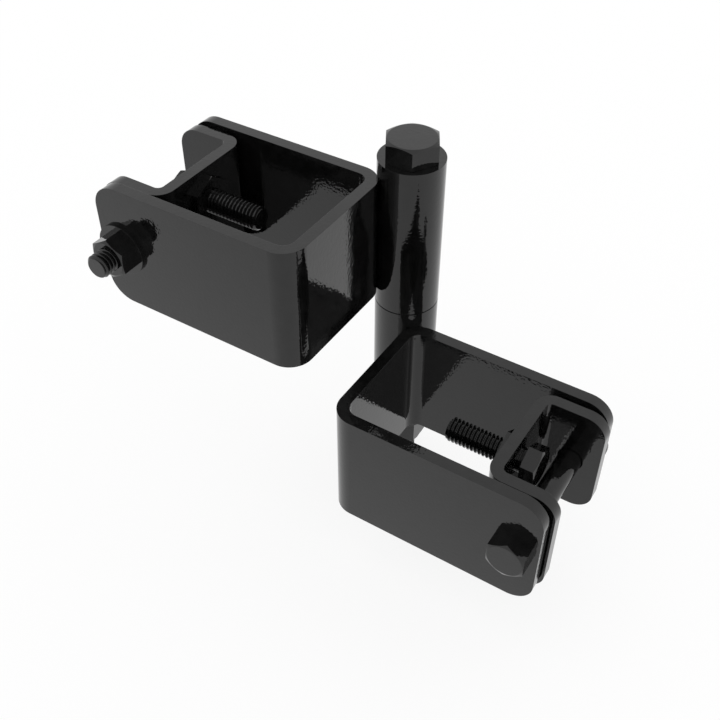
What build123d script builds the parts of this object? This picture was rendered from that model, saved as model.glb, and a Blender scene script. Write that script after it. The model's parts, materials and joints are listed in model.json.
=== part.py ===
from build123d import *
import math
import os

# A bolt-on gate hinge. Two box clamps of folded plate grip square tubes. The post clamp carries the lower
# knuckle of the barrel and the gate clamp the upper one, and a long hex bolt through both is the pivot.
# The frame is the post clamp's own: the origin is the middle of its seat, where the web bears on the post,
# +X runs from the seat into the post, +Y to the side that the gate opens to, and +Z up.
# All sizes are in millimetres.

# Folded brackets
plate = 4.76
seat_width = 51.6
bracket_height = 50.8
flange_length = 87.3
bracket_fold_radius = 4.76
flange_corner_radius = 10.0

# Clamp caps, which slide between a bracket's flanges
cap_plate = 4.76
cap_side_gap = 1.55
cap_height = 47.6
cap_leg_length = 28.2
cap_fold_radius = 2.4
cap_corner_radius = 8.5

# Barrel
barrel_diameter = 25.4
knuckle_length = 63.5
knuckle_gap = 0.5

# Cross bolts, their nuts and washers
cross_diameter = 9.525
cross_length = 75.6
cross_inset = 10.1
cross_clearance = 0.8
cross_nut_thickness = 7.0
washer_diameter = 20.6
washer_thickness = 1.4

# Set bolts
set_diameter = 9.525
set_length = 31.75
set_pitch = 1.5875
set_rise = 10.7
set_head_clearance = 0.7
thread_clearance = 0.05
set_turns = 1.2

# Hex heads of the cross and set bolts
hex_flats = 14.29
head_height = 5.95

# Pivot bolt and its lock nut
pivot_diameter = 12.7
pivot_length = 152.4
pivot_flats = 19.05
pivot_head_height = 7.94
pivot_clearance = 0.08
pivot_head_gap = 0.1
lock_nut_hex_height = 12.4
lock_nut_height = 15.2
lock_nut_collar_diameter = 17.4
insert_diameter = 15.4
insert_height = 2.2
collar_lip = 0.6
collar_edge = 0.8

# Hex corners and bolt ends. A head's flat top is a circle, a little smaller than the width across flats.
top_circle_share = 0.95
corner_chamfer_angle = 23.6
bolt_end_chamfer = 0.8

# Weld beads in the crook between a bracket's rear fold and its knuckle
weld_root = 2.1
weld_reach = 7.9
weld_end_inset = 2.5

# Places that follow from the sizes
fold_outer_radius = bracket_fold_radius + plate
barrel_radius = barrel_diameter / 2
# The fold just touches the barrel, at 45 degrees, so the plate's faces stand off its axis by this much.
barrel_offset = (barrel_radius + fold_outer_radius) * math.sqrt(0.5) - fold_outer_radius
pivot_x = -(plate + barrel_offset)
pivot_y = seat_width / 2 + plate + barrel_offset
seam_z = (knuckle_length + knuckle_gap) / 2
clamp_rise = 2 * seam_z

flange_face_y = seat_width / 2 + plate
flange_end_x = flange_length - plate
cross_x = flange_end_x - cross_inset
cap_width = seat_width - 2 * cap_side_gap


def corner_radius(flats):
    return flats / math.sqrt(3)


def corner_drop(flats):
    """How far a hex head's corners lie below its top, where the chamfer has trimmed them."""
    slope = math.tan(math.radians(corner_chamfer_angle))
    return (corner_radius(flats) - top_circle_share * flats / 2) * slope


# A set bolt's head stands just clear of the cross bolt, near whose upper side its lowest corner lies.
head_low_z = max(set_rise - corner_radius(hex_flats), 0)
cross_near_side = math.sqrt(max((cross_diameter / 2) ** 2 - head_low_z**2, 0))
set_head_end_x = cross_x - cross_near_side + corner_drop(hex_flats) - set_head_clearance
set_seat_x = set_head_end_x - head_height
# The set bolt is still this many turns from seating on the cap's web.
cap_face_x = set_seat_x - set_turns * set_pitch - cap_plate


def channel(thickness, width, leg_length, height, fold_radius, end_radius):
    """Plate folded to a U, its web's outer face at x = 0 and its legs along +X, with rounded leg ends."""
    outside = Rectangle(leg_length, width, align=(Align.MIN, Align.CENTER))
    outside = fillet(outside.vertices().sort_by(Axis.X)[:2], fold_radius + thickness)
    inside = Pos(thickness) * Rectangle(leg_length, width - 2 * thickness, align=(Align.MIN, Align.CENTER))
    inside = fillet(inside.vertices().sort_by(Axis.X)[:2], fold_radius)
    folded = extrude(outside - inside, height / 2, both=True)
    leg_ends = folded.edges().filter_by(Axis.Y).sort_by(Axis.X)[-4:]
    return fillet(leg_ends, end_radius)


def rod_along_y(diameter, length):
    return Rot(90, 0, 0) * Cylinder(diameter / 2, length)


def bracket():
    """The post clamp's bracket: its web's inner face is the seat, at x = 0."""
    folded = channel(
        plate, seat_width + 2 * plate, flange_length, bracket_height, bracket_fold_radius, flange_corner_radius
    )
    cross_hole = Pos(cross_x) * rod_along_y(cross_diameter + cross_clearance, 3 * seat_width)
    return Pos(-plate) * folded - cross_hole


def clamp_cap():
    """The cap, open the same way as its bracket, with the tapped hole of the set bolt through its web."""
    folded = channel(cap_plate, cap_width, cap_leg_length, cap_height, cap_fold_radius, cap_corner_radius)
    cross_hole = Pos(cross_x) * rod_along_y(cross_diameter + cross_clearance, 3 * seat_width)
    tapped_hole = Rot(0, 90, 0) * Cylinder(set_diameter / 2 + thread_clearance, 3 * cap_plate)
    return Pos(cap_face_x) * folded - cross_hole - Pos(cap_face_x, 0, set_rise) * tapped_hole


def corner_cone(flats, height):
    """What trims a hex prism's corners at its top: a cylinder whose top edge slopes off round the top face."""
    outline = Polyline(
        (0, 0),
        (corner_radius(flats), 0),
        (corner_radius(flats), height - corner_drop(flats)),
        (top_circle_share * flats / 2, height),
        (0, height),
        close=True,
    )
    return revolve(Plane.XZ * make_face(outline), Axis.Z)


def hex_prism(flats, height):
    """A hexagon with two corners on the X axis, from z = 0 up."""
    return extrude(RegularPolygon(corner_radius(flats), 6), height)


def hex_bolt(flats, height, diameter, length):
    """A hex bolt along Z: the head's seat is at z = 0, the head above it and the shank below."""
    head = hex_prism(flats, height) & corner_cone(flats, height)
    shank = Cylinder(diameter / 2, length, align=(Align.CENTER, Align.CENTER, Align.MAX))
    shank = chamfer(shank.edges().filter_by(GeomType.CIRCLE).sort_by(Axis.Z)[0], bolt_end_chamfer)
    return head + shank


def hex_nut(flats, thickness, diameter):
    """A plain hex nut from z = 0 up, with its outer face chamfered at the corners."""
    return (hex_prism(flats, thickness) & corner_cone(flats, thickness)) - Cylinder(diameter / 2, 3 * thickness)


def washer():
    ring = Circle(washer_diameter / 2) - Circle((cross_diameter + cross_clearance) / 2)
    return extrude(ring, washer_thickness)


def across_clamp(piece, side):
    """Puts a piece made along Z on the cross bolt's axis, on the flange of that side (+1 rear, -1 front)."""
    outward = Plane(origin=(cross_x, side * flange_face_y, 0), x_dir=(0, 0, 1), z_dir=(0, side, 0))
    return outward * piece


def cross_bolt(head_side):
    return across_clamp(hex_bolt(hex_flats, head_height, cross_diameter, cross_length), head_side)


def cross_washer(head_side):
    return across_clamp(washer(), -head_side)


def cross_nut(head_side):
    nut = hex_nut(hex_flats, cross_nut_thickness, cross_diameter)
    return across_clamp(Pos(0, 0, washer_thickness) * nut, -head_side)


def set_bolt():
    """The set bolt, pointing at the seat, with a corner of its head upwards."""
    outward = Plane(origin=(set_seat_x, 0, set_rise), x_dir=(0, 0, 1), z_dir=(1, 0, 0))
    return outward * hex_bolt(hex_flats, head_height, set_diameter, set_length)


def on_pivot(piece, height):
    return Pos(pivot_x, pivot_y, height) * piece


def knuckle():
    """One half of the barrel, centred on the height of its bracket."""
    ring = Circle(barrel_radius) - Circle(pivot_diameter / 2 + pivot_clearance)
    return on_pivot(extrude(ring, knuckle_length / 2, both=True), 0)


def weld_bead():
    """The bead in the rear crook: what a rounded strip of weld leaves between the barrel and the fold."""
    strip = Circle(weld_reach) - Pos(weld_root) * Rectangle(
        2 * weld_reach, 3 * weld_reach, align=(Align.MAX, Align.CENTER)
    )
    barrel_to_fold = barrel_radius * math.sqrt(0.5)
    touch = Location((pivot_x + barrel_to_fold, pivot_y - barrel_to_fold, 0), (0, 0, 45))
    barrel = Pos(pivot_x, pivot_y) * Circle(barrel_radius)
    fold = Rectangle(flange_length, 2 * flange_face_y, align=(Align.MIN, Align.CENTER))
    fold = Pos(-plate) * fillet(fold.vertices().sort_by(Axis.X)[:2], fold_outer_radius)
    section = touch * strip - barrel - fold
    return extrude(section, bracket_height / 2 - weld_end_inset, both=True)


def pivot_bolt():
    seat = seam_z + knuckle_gap / 2 + knuckle_length + pivot_head_gap
    return on_pivot(hex_bolt(pivot_flats, pivot_head_height, pivot_diameter, pivot_length), seat)


def lock_nut_body():
    """A lock nut from z = 0 up: a hex, and on it a round collar rolled in over the insert."""
    hexagon = hex_prism(pivot_flats, lock_nut_hex_height) & corner_cone(pivot_flats, lock_nut_hex_height)
    collar = Cylinder(
        lock_nut_collar_diameter / 2, lock_nut_height, align=(Align.CENTER, Align.CENTER, Align.MIN)
    )
    collar = chamfer(collar.edges().filter_by(GeomType.CIRCLE).sort_by(Axis.Z)[-1], collar_edge)
    return Rot(0, 0, 30) * hexagon + collar


def lock_nut_insert():
    """The plastic ring that grips the thread, just inside the collar's lip."""
    ring = Circle(insert_diameter / 2) - Circle(pivot_diameter / 2)
    return Pos(0, 0, lock_nut_height - collar_lip - insert_height) * extrude(ring, insert_height)


def lock_nut():
    bore = Cylinder(pivot_diameter / 2, 3 * lock_nut_height)
    recess = Pos(0, 0, lock_nut_height - collar_lip - insert_height) * Cylinder(
        insert_diameter / 2, insert_height, align=(Align.CENTER, Align.CENTER, Align.MIN)
    )
    mouth_radius = (pivot_diameter + insert_diameter) / 4
    mouth = Pos(0, 0, lock_nut_height) * Cylinder(mouth_radius, 2 * collar_lip)
    return lock_nut_body() - bore - recess - mouth


def under_barrel(piece):
    """Hangs a piece made from z = 0 up under the lower knuckle, upside down."""
    return on_pivot(Rot(180, 0, 0) * piece, -knuckle_length / 2)


def gate_side(piece):
    """The gate clamp is the post clamp's mirror image across the pivot, and stands on the upper knuckle."""
    return Pos(0, 0, clamp_rise) * mirror(piece, Plane.YZ.offset(pivot_x))


def all_pieces():
    return {
        "post_bracket": bracket(),
        "post_clamp_cap": clamp_cap(),
        "post_cross_bolt": cross_bolt(-1),
        "post_cross_washer": cross_washer(-1),
        "post_cross_nut": cross_nut(-1),
        "post_set_bolt": set_bolt(),
        "lower_knuckle": knuckle(),
        "lower_weld": weld_bead(),
        "pivot_bolt": pivot_bolt(),
        "pivot_nut": under_barrel(lock_nut()),
        "pivot_nut_insert": under_barrel(lock_nut_insert()),
        "gate_bracket": gate_side(bracket()),
        "gate_clamp_cap": gate_side(clamp_cap()),
        "gate_cross_bolt": gate_side(cross_bolt(1)),
        "gate_cross_washer": gate_side(cross_washer(1)),
        "gate_cross_nut": gate_side(cross_nut(1)),
        "gate_set_bolt": gate_side(set_bolt()),
        "upper_knuckle": gate_side(knuckle()),
        "upper_weld": gate_side(weld_bead()),
    }


os.makedirs("parts", exist_ok=True)
for name, piece in all_pieces().items():
    piece.label = name
    export_step(piece, f"parts/{name}.step")
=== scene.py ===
import bmesh
import bpy
import json
import math
from mathutils import Euler, Matrix, Vector

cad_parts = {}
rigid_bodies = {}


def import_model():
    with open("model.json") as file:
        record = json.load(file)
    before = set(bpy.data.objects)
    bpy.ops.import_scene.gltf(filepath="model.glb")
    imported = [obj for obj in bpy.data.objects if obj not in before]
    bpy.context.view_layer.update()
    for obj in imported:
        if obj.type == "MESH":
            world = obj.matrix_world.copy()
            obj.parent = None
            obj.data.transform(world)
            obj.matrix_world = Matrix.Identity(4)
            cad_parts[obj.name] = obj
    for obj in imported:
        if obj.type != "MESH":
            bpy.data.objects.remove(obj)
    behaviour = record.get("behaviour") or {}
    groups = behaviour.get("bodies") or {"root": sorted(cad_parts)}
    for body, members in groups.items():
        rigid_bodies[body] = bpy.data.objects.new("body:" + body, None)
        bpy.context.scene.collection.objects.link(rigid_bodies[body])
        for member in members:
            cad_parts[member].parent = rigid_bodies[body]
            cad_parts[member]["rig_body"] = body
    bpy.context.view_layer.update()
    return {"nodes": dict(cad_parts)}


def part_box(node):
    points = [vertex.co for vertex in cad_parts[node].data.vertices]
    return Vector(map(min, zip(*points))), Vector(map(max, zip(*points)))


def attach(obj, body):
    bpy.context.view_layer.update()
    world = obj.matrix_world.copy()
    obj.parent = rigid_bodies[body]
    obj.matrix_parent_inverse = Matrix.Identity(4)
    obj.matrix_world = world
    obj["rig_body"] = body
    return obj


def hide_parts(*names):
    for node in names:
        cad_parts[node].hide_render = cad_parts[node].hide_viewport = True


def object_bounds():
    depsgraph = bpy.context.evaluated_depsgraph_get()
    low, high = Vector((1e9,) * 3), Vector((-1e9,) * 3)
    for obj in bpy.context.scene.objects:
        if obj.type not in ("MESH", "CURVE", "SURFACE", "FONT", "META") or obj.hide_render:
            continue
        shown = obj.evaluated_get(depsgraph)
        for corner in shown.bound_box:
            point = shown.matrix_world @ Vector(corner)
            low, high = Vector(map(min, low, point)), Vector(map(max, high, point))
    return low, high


# The looks of a bolt-on gate hinge. The brackets, caps, barrel, washers and the nuts of the cross bolts and
# the pivot are the solids of the frame. Made here are the bolts with their threads, the rippled welds and a
# thin nut on each set bolt. All sizes are in metres.

# Edges that turn by more than this stay sharp, and points nearer than this are one point
SHARP_ANGLE = math.radians(15)
SAME_POINT = 0.000001

# Hex heads
HEAD_HEIGHT = 0.00595
PIVOT_HEAD_HEIGHT = 0.00794
TOP_CIRCLE_SHARE = 0.95
CORNER_CHAMFER_ANGLE = math.radians(23.6)
HEAD_SEGMENTS = 96

# Bolt shanks and their threads
BOLT_DIAMETER = 0.009525
BOLT_PITCH = 0.0015875
SET_THREAD_SHARE = 0.95
CROSS_THREAD_LENGTH = 0.0254
PIVOT_DIAMETER = 0.0127
PIVOT_PITCH = 0.00195385
PIVOT_THREAD_LENGTH = 0.0318
END_CHAMFER = 0.0008
THREAD_DEPTH_SHARE = 0.62
THREAD_SEGMENTS = 48

# The corners of the thread's profile, in pitches from the middle of a crest, and its phase at the end of the
# shank. All are whole rows of the mesh, so each corner lies along one row.
THREAD_ROWS = 16
CREST_SHARE = 1 / THREAD_ROWS
ROOT_SHARE = 7 / THREAD_ROWS
THREAD_PHASE = 6 / THREAD_ROWS

# Thin nuts on the set bolts, against the seat side of each cap's web
THIN_NUT_FLATS = 0.01746
THIN_NUT_THICKNESS = 0.0026
THIN_NUT_CLEARANCE = 0.0001
THIN_NUT_TURN = math.radians(5)

# Weld beads. A bead begins in the crook at a share of its root, and its ripples bow by a share of a ripple.
WELD_ROOT = 0.0021
WELD_REACH = 0.0079
WELD_RIPPLE = 0.0017
WELD_RIPPLE_DEPTH = 0.00025
WELD_END = 0.0035
WELD_OVERLAP = math.radians(2)
WELD_CROOK_SHARE = 0.5
RIPPLE_BOW = 0.45
WELD_ROWS = 160
WELD_STEPS = 14

# The black coatings. The refractive index sets how bright the white studio shows in them.
COAT_IOR = 1.46
PLATE_TONES = (0.003, 0.007)
BARREL_TONES = (0.003, 0.006)
HARDWARE_TONES = (0.003, 0.007)
PLATE_ROUGHNESS = (0.004, 0.012)
HARDWARE_ROUGHNESS = (0.01, 0.03)
PLATE_GRAIN = 0.00004
HARDWARE_GRAIN = 0.00003
PLATE_EDGE = 0.00015
BARREL_EDGE = 0.0001
HARDWARE_EDGE = 0.0001
THIN_NUT_EDGE = 0.00002
EDGE_SAMPLES = 4

# The lock nut's plastic ring
NYLON_TONES = (0.03, 0.06)
NYLON_ROUGHNESS = (0.45, 0.65)
NYLON_GRAIN = 0.00005
NYLON_GRAIN_STRENGTH = 0.6

# Each noise has its waves a metre and its detail, and lies mostly between the two limits
NOISE_LIMITS = (0.3, 0.7)
TONE_NOISE = (260, 4)
GLOSS_NOISE = (900, 3)
GRAIN_NOISE = (850, 1)
NYLON_TONE_NOISE = (700, 3)
NYLON_GLOSS_NOISE = (1500, 2)
NYLON_GRAIN_NOISE = (3000, 2)

# Camera, placed like the one that took the photograph
CAMERA_PLACE = (0.141408, -0.237638, 0.285600)
CAMERA_TURN = (math.radians(47.282), 0, math.radians(32.45))
CAMERA_LENS = 50.03
CAMERA_SENSOR = 36
CAMERA_NEAR = 0.01
CAMERA_FAR = 20

# Studio
FLOOR_SIZE = 6.0
FLOOR_ALBEDO = 0.18


def mesh_object(name, points, faces, material, slot):
    """A piece whose faces point outwards, with points that coincide made one."""
    mesh = bpy.data.meshes.new(name)
    mesh.from_pydata(points, [], faces)
    mesh.validate()
    whole = bmesh.new()
    whole.from_mesh(mesh)
    bmesh.ops.remove_doubles(whole, verts=whole.verts, dist=SAME_POINT)
    bmesh.ops.recalc_face_normals(whole, faces=whole.faces)
    whole.to_mesh(mesh)
    whole.free()
    mesh.shade_smooth()
    mesh.set_sharp_from_angle(angle=SHARP_ANGLE)
    mesh.materials.append(material)
    piece = bpy.data.objects.new(name, mesh)
    bpy.context.scene.collection.objects.link(piece)
    return piece


def skin(rings, climb=0):
    """Points and faces of a closed skin over rings of equal length, with a face over each end.

    All rings but the last may climb: after one turn, each goes on in the ring that many further on.
    """
    points = [point for ring in rings for point in ring]
    count = len(rings[0])
    top = len(rings) - 2
    faces = []
    for row in range(len(rings) - 1):
        for step in range(count):
            climbed = climb if step == count - 1 else 0
            beside = (step + 1) % count
            lower = min(row + climbed, top)
            upper = min(row + 1 + climbed, max(row + 1, top))
            corners = [(row, step), (lower, beside), (upper, beside), (row + 1, step)]
            faces.append(tuple(dict.fromkeys(there * count + around for there, around in corners)))
    faces.append(tuple(reversed(range(count))))
    faces.append(tuple(range(len(points) - count, len(points))))
    return points, faces


def loop_skin(rings):
    """Points and faces of a skin over rings of equal length that joins the last ring to the first."""
    points = [point for ring in rings for point in ring]
    count = len(rings[0])
    faces = []
    for row in range(len(rings)):
        for step in range(count):
            above = (row + 1) % len(rings)
            beside = (step + 1) % count
            corners = [(row, step), (row, beside), (above, beside), (above, step)]
            faces.append(tuple(there * count + around for there, around in corners))
    return points, faces


def ring(count, radius_at, height_at):
    """A ring round Z whose radius and height may change with the angle."""
    angles = [2 * math.pi * step / count for step in range(count)]
    return [
        (radius_at(angle) * math.cos(angle), radius_at(angle) * math.sin(angle), height_at(angle))
        for angle in angles
    ]


def hex_side(flats, angle):
    """How far a hexagon's side is from its middle at an angle from one of its corners."""
    return flats / 2 / math.cos((angle % (math.pi / 3)) - math.pi / 6)


def hex_head_rings(flats, height):
    """A hexagon with corners on the X axis, its top corners trimmed by a shallow cone."""
    top_radius = TOP_CIRCLE_SHARE * flats / 2

    def side(angle):
        return hex_side(flats, angle)

    def rim(angle):
        return height - (side(angle) - top_radius) * math.tan(CORNER_CHAMFER_ANGLE)

    return [
        ring(HEAD_SEGMENTS, side, lambda angle: 0),
        ring(HEAD_SEGMENTS, side, rim),
        ring(HEAD_SEGMENTS, lambda angle: top_radius, lambda angle: height),
    ]


def thread_cut(phase):
    """How deep the thread is cut, from 0 on the crest to 1 at the root, for a phase in pitches."""
    from_crest = abs(phase - round(phase))
    return min(max((from_crest - CREST_SHARE) / (ROOT_SHARE - CREST_SHARE), 0), 1)


def shank_rings(diameter, length, thread_length, pitch):
    """The shank below z = 0, from its chamfered end up: a helical thread, and then the plain shank."""
    depth = THREAD_DEPTH_SHARE * pitch
    plain_from = thread_length - length
    rows = math.ceil((thread_length / pitch + 1) * THREAD_ROWS)

    def radius(angle, height):
        cut = thread_cut((height + length) / pitch - angle / (2 * math.pi) + THREAD_PHASE)
        run_out = min(max((plain_from - height) / pitch, 0), 1)
        end_cone = diameter / 2 - END_CHAMFER + (height + length)
        return min(diameter / 2 - depth * cut * run_out, end_cone)

    rings = []
    for row in range(rows + 1):

        def height_at(angle, row=row):
            turned = angle / (2 * math.pi) - 1
            height = -length + (turned + row / THREAD_ROWS) * pitch
            return min(max(height, -length), plain_from)

        rings.append(ring(THREAD_SEGMENTS, lambda angle: radius(angle, height_at(angle)), height_at))
    rings.append(ring(THREAD_SEGMENTS, lambda angle: diameter / 2, lambda angle: 0))
    return rings


def join(first, second):
    """One list of points and faces out of two."""
    points, faces = first
    more_points, more_faces = second
    shifted = [tuple(corner + len(points) for corner in face) for face in more_faces]
    return points + more_points, faces + shifted


def hex_bolt(node, outward, corner, head_height, diameter, thread_length, pitch, material):
    """A threaded bolt in place of a CAD node, its head towards outward and a hex corner towards corner."""
    low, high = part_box(node)
    outward = Vector(outward)
    corner = Vector(corner)
    size = high - low
    middle = (low + high) / 2
    whole = abs(size.dot(outward))
    across = outward.cross(corner)
    flats = abs(size.dot(across))
    length = whole - head_height
    head = skin(hex_head_rings(flats, head_height))
    threaded = thread_length or SET_THREAD_SHARE * length
    shank = skin(shank_rings(diameter, length, threaded, pitch), THREAD_ROWS)
    seat = middle + outward * (whole / 2 - head_height)
    turn = Matrix((corner, across, outward)).transposed().to_4x4()
    piece = mesh_object(f"{node}_threaded", *join(head, shank), material, "black_hardware")
    piece.data.transform(Matrix.Translation(seat) @ turn)
    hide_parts(node)
    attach(piece, frame["nodes"][node]["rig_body"])
    return piece


def thin_nut(cap, bolt, towards_seat, material):
    """A thin nut round a set bolt, against the cap's web, with a hex corner a little back from upwards."""
    cap_low, cap_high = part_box(cap)
    bolt_low, bolt_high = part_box(bolt)
    web_x = cap_low.x if towards_seat < 0 else cap_high.x
    axis = (bolt_low + bolt_high) / 2

    def side(angle):
        return hex_side(THIN_NUT_FLATS, angle)

    def bore(angle):
        return BOLT_DIAMETER / 2 + THIN_NUT_CLEARANCE

    rings = [
        ring(HEAD_SEGMENTS, side, lambda angle: 0),
        ring(HEAD_SEGMENTS, side, lambda angle: THIN_NUT_THICKNESS),
        ring(HEAD_SEGMENTS, bore, lambda angle: THIN_NUT_THICKNESS),
        ring(HEAD_SEGMENTS, bore, lambda angle: 0),
    ]
    piece = mesh_object(f"{bolt}_thin_nut", *loop_skin(rings), material, "black_hardware")
    outward = Vector((towards_seat, 0, 0))
    corner = Vector((0, math.sin(THIN_NUT_TURN), math.cos(THIN_NUT_TURN)))
    turned = Matrix((corner, outward.cross(corner), outward)).transposed().to_4x4()
    piece.data.transform(Matrix.Translation((web_x, axis.y, axis.z)) @ turned)
    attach(piece, frame["nodes"][cap]["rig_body"])
    return piece


def weld_bead(node, knuckle, side, material):
    """A rippled bead in the crook of knuckle and fold: side is +1 for the post and -1 for the gate."""
    low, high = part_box(node)
    barrel_low, barrel_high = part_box(knuckle)
    bracket_low, bracket_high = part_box("post_bracket")
    barrel_radius = (barrel_high.x - barrel_low.x) / 2
    axis = (barrel_low + barrel_high) / 2
    gap = axis.y - bracket_high.y
    fold_radius = (gap * math.sqrt(2) - barrel_radius) / (1 - math.sqrt(2))
    outward = Vector((side, 1, 0)).normalized()
    to_fold = Vector((side, -1, 0)).normalized()
    touch = Vector((axis.x, axis.y, 0)) + to_fold * barrel_radius
    barrel_angle = math.asin(WELD_REACH / (2 * barrel_radius)) + WELD_OVERLAP
    fold_angle = math.asin(WELD_REACH / (2 * fold_radius)) + WELD_OVERLAP
    rings = []
    for row in range(WELD_ROWS + 1):
        height = low.z + (high.z - low.z) * row / WELD_ROWS
        from_end = min(height - low.z, high.z - height, WELD_END) / WELD_END
        reach = WELD_ROOT + (WELD_REACH - WELD_ROOT) * math.sqrt(1 - (1 - from_end) ** 2)
        ring_points = [touch + outward * WELD_ROOT * WELD_CROOK_SHARE]
        for step in range(WELD_STEPS + 1):
            share = step / WELD_STEPS
            angle = -barrel_angle + (barrel_angle + fold_angle) * share
            crescent = (2 * share - 1) ** 2
            wave = math.sin(2 * math.pi * (height / WELD_RIPPLE + RIPPLE_BOW * crescent))
            radius = reach - WELD_RIPPLE_DEPTH * (1 + wave) / 2
            spoke = outward * math.cos(angle) + to_fold * math.sin(angle)
            ring_points.append(touch + spoke * radius)
        rings.append([(point.x, point.y, height) for point in ring_points])
    piece = mesh_object(f"{node}_rippled", *skin(rings), material, "black_barrel")
    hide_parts(node)
    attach(piece, frame["nodes"][node]["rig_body"])
    return piece


def new_node(tree, kind, **inputs):
    """A shader node, with its inputs set by name."""
    node = tree.nodes.new(kind)
    for name, value in inputs.items():
        node.inputs[name.replace("_", " ")].default_value = value
    return node


def noise(tree, scale, detail):
    """Noise that stays fixed to the object, of so many waves a metre."""
    place = tree.nodes.new("ShaderNodeTexCoord")
    waves = new_node(tree, "ShaderNodeTexNoise", Scale=scale, Detail=detail)
    tree.links.new(place.outputs["Object"], waves.inputs["Vector"])
    return waves.outputs["Fac"]


def between(tree, factor, low, high):
    """Spreads a noise value between two values."""
    spread = new_node(tree, "ShaderNodeMapRange")
    spread.inputs["From Min"].default_value = NOISE_LIMITS[0]
    spread.inputs["From Max"].default_value = NOISE_LIMITS[1]
    spread.inputs["To Min"].default_value = low
    spread.inputs["To Max"].default_value = high
    tree.links.new(factor, spread.inputs["Value"])
    return spread.outputs["Result"]


def new_material(name):
    """A material, its node tree and its shader."""
    material = bpy.data.materials.new(name)
    material.use_nodes = True
    return material, material.node_tree, material.node_tree.nodes["Principled BSDF"]


def uneven_grey(tree, shader, waves, tones):
    """A grey that wanders between two tones."""
    tone = between(tree, noise(tree, *waves), *tones)
    colour = tree.nodes.new("ShaderNodeCombineColor")
    for channel in colour.inputs:
        tree.links.new(tone, channel)
    tree.links.new(colour.outputs["Color"], shader.inputs["Base Color"])


def uneven_gloss(tree, shader, waves, roughness):
    """A roughness that wanders between two values."""
    gloss = between(tree, noise(tree, *waves), *roughness)
    tree.links.new(gloss, shader.inputs["Roughness"])


def gloss_black(name, tones, roughness, grain, edge):
    """A gloss black coating: a little uneven in tone and gloss, with fine grain and softened edges."""
    material, tree, shader = new_material(name)
    shader.inputs["IOR"].default_value = COAT_IOR
    shader.inputs["Metallic"].default_value = 0
    uneven_grey(tree, shader, TONE_NOISE, tones)
    uneven_gloss(tree, shader, GLOSS_NOISE, roughness)
    softened = new_node(tree, "ShaderNodeBevel", Radius=edge)
    softened.samples = EDGE_SAMPLES
    bump = new_node(tree, "ShaderNodeBump", Strength=1, Distance=grain)
    tree.links.new(noise(tree, *GRAIN_NOISE), bump.inputs["Height"])
    tree.links.new(softened.outputs["Normal"], bump.inputs["Normal"])
    tree.links.new(bump.outputs["Normal"], shader.inputs["Normal"])
    return material


def nylon():
    """Black nylon: matt, with a fine grain."""
    material, tree, shader = new_material("black_nylon")
    uneven_grey(tree, shader, NYLON_TONE_NOISE, NYLON_TONES)
    uneven_gloss(tree, shader, NYLON_GLOSS_NOISE, NYLON_ROUGHNESS)
    bump = new_node(tree, "ShaderNodeBump", Strength=NYLON_GRAIN_STRENGTH, Distance=NYLON_GRAIN)
    tree.links.new(noise(tree, *NYLON_GRAIN_NOISE), bump.inputs["Height"])
    tree.links.new(bump.outputs["Normal"], shader.inputs["Normal"])
    return material


def dress(material, *nodes):
    """Gives solids of the frame a material."""
    for node in nodes:
        mesh = frame["nodes"][node].data
        mesh.materials.clear()
        mesh.materials.append(material)


def floor_material():
    """White where it is lit, to meet the white world, and darker where the object shades it."""
    material = bpy.data.materials.new("studio_floor")
    material.use_nodes = True
    tree = material.node_tree
    tree.nodes.clear()
    matt = new_node(tree, "ShaderNodeBsdfDiffuse", Color=(FLOOR_ALBEDO, FLOOR_ALBEDO, FLOOR_ALBEDO, 1))
    seen = tree.nodes.new("ShaderNodeLightPath")
    either = tree.nodes.new("ShaderNodeMath")
    either.operation = "MAXIMUM"
    tree.links.new(seen.outputs["Is Camera Ray"], either.inputs[0])
    tree.links.new(seen.outputs["Is Glossy Ray"], either.inputs[1])
    share = tree.nodes.new("ShaderNodeMath")
    share.operation = "MULTIPLY"
    share.inputs[1].default_value = 1 - FLOOR_ALBEDO
    tree.links.new(either.outputs[0], share.inputs[0])
    glow = tree.nodes.new("ShaderNodeEmission")
    tree.links.new(share.outputs[0], glow.inputs["Strength"])
    both = tree.nodes.new("ShaderNodeAddShader")
    tree.links.new(matt.outputs[0], both.inputs[0])
    tree.links.new(glow.outputs[0], both.inputs[1])
    side = tree.nodes.new("ShaderNodeNewGeometry")
    clear = tree.nodes.new("ShaderNodeBsdfTransparent")
    one_sided = tree.nodes.new("ShaderNodeMixShader")
    tree.links.new(side.outputs["Backfacing"], one_sided.inputs["Fac"])
    tree.links.new(both.outputs[0], one_sided.inputs[1])
    tree.links.new(clear.outputs[0], one_sided.inputs[2])
    output = tree.nodes.new("ShaderNodeOutputMaterial")
    tree.links.new(one_sided.outputs[0], output.inputs["Surface"])
    return material


def studio():
    """A white world, whose light is soft and even, and a pale floor under the object."""
    low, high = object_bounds()
    middle = (low + high) / 2
    mesh = bpy.data.meshes.new("floor")
    half = FLOOR_SIZE / 2
    corners = [(-half, -half, 0), (half, -half, 0), (half, half, 0), (-half, half, 0)]
    mesh.from_pydata(corners, [], [(0, 1, 2, 3)])
    mesh.materials.append(floor_material())
    floor = bpy.data.objects.new("floor", mesh)
    floor.location = (middle.x, middle.y, low.z)
    bpy.context.scene.collection.objects.link(floor)
    world = bpy.data.worlds.new("white_studio")
    world.use_nodes = True
    background = world.node_tree.nodes["Background"]
    background.inputs["Color"].default_value = (1, 1, 1, 1)
    background.inputs["Strength"].default_value = 1
    bpy.context.scene.world = world


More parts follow.
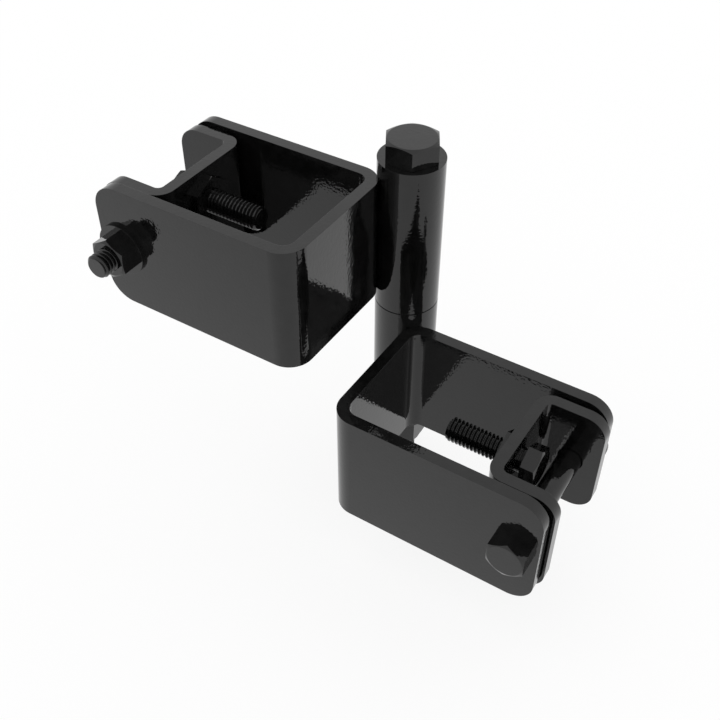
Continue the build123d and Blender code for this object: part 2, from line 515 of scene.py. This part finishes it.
def camera():
    """A camera placed like the one that took the photograph."""
    data = bpy.data.cameras.new("camera")
    data.lens = CAMERA_LENS
    data.sensor_width = CAMERA_SENSOR
    data.clip_start = CAMERA_NEAR
    data.clip_end = CAMERA_FAR
    eye = bpy.data.objects.new("camera", data)
    eye.location = CAMERA_PLACE
    eye.rotation_euler = Euler(CAMERA_TURN)
    bpy.context.scene.collection.objects.link(eye)
    bpy.context.scene.camera = eye


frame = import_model()

hardware_looks = (HARDWARE_TONES, HARDWARE_ROUGHNESS, HARDWARE_GRAIN)
plate_coat = gloss_black("gloss_black_plate", PLATE_TONES, PLATE_ROUGHNESS, PLATE_GRAIN, PLATE_EDGE)
barrel_coat = gloss_black("gloss_black_barrel", BARREL_TONES, PLATE_ROUGHNESS, PLATE_GRAIN, BARREL_EDGE)
hardware_coat = gloss_black("gloss_black_hardware", *hardware_looks, HARDWARE_EDGE)
crisp_coat = gloss_black("gloss_black_thin_nut", *hardware_looks, THIN_NUT_EDGE)
dress(plate_coat, "post_bracket", "gate_bracket", "post_clamp_cap", "gate_clamp_cap")
dress(barrel_coat, "lower_knuckle", "upper_knuckle")
dress(hardware_coat, "post_cross_nut", "post_cross_washer", "gate_cross_nut", "gate_cross_washer")
dress(hardware_coat, "pivot_nut")
dress(nylon(), "pivot_nut_insert")

up = (0, 0, 1)
cross_sizes = (HEAD_HEIGHT, BOLT_DIAMETER, CROSS_THREAD_LENGTH, BOLT_PITCH)
set_sizes = (HEAD_HEIGHT, BOLT_DIAMETER, None, BOLT_PITCH)
pivot_sizes = (PIVOT_HEAD_HEIGHT, PIVOT_DIAMETER, PIVOT_THREAD_LENGTH, PIVOT_PITCH)
hex_bolt("post_cross_bolt", (0, -1, 0), up, *cross_sizes, hardware_coat)
hex_bolt("gate_cross_bolt", (0, 1, 0), up, *cross_sizes, hardware_coat)
hex_bolt("post_set_bolt", (1, 0, 0), up, *set_sizes, hardware_coat)
hex_bolt("gate_set_bolt", (-1, 0, 0), up, *set_sizes, hardware_coat)
hex_bolt("pivot_bolt", up, (1, 0, 0), *pivot_sizes, hardware_coat)
thin_nut("post_clamp_cap", "post_set_bolt", -1, crisp_coat)
thin_nut("gate_clamp_cap", "gate_set_bolt", 1, crisp_coat)
weld_bead("lower_weld", "lower_knuckle", 1, barrel_coat)
weld_bead("upper_weld", "upper_knuckle", -1, barrel_coat)

studio()
camera()
bpy.context.scene.view_settings.view_transform = "Standard"
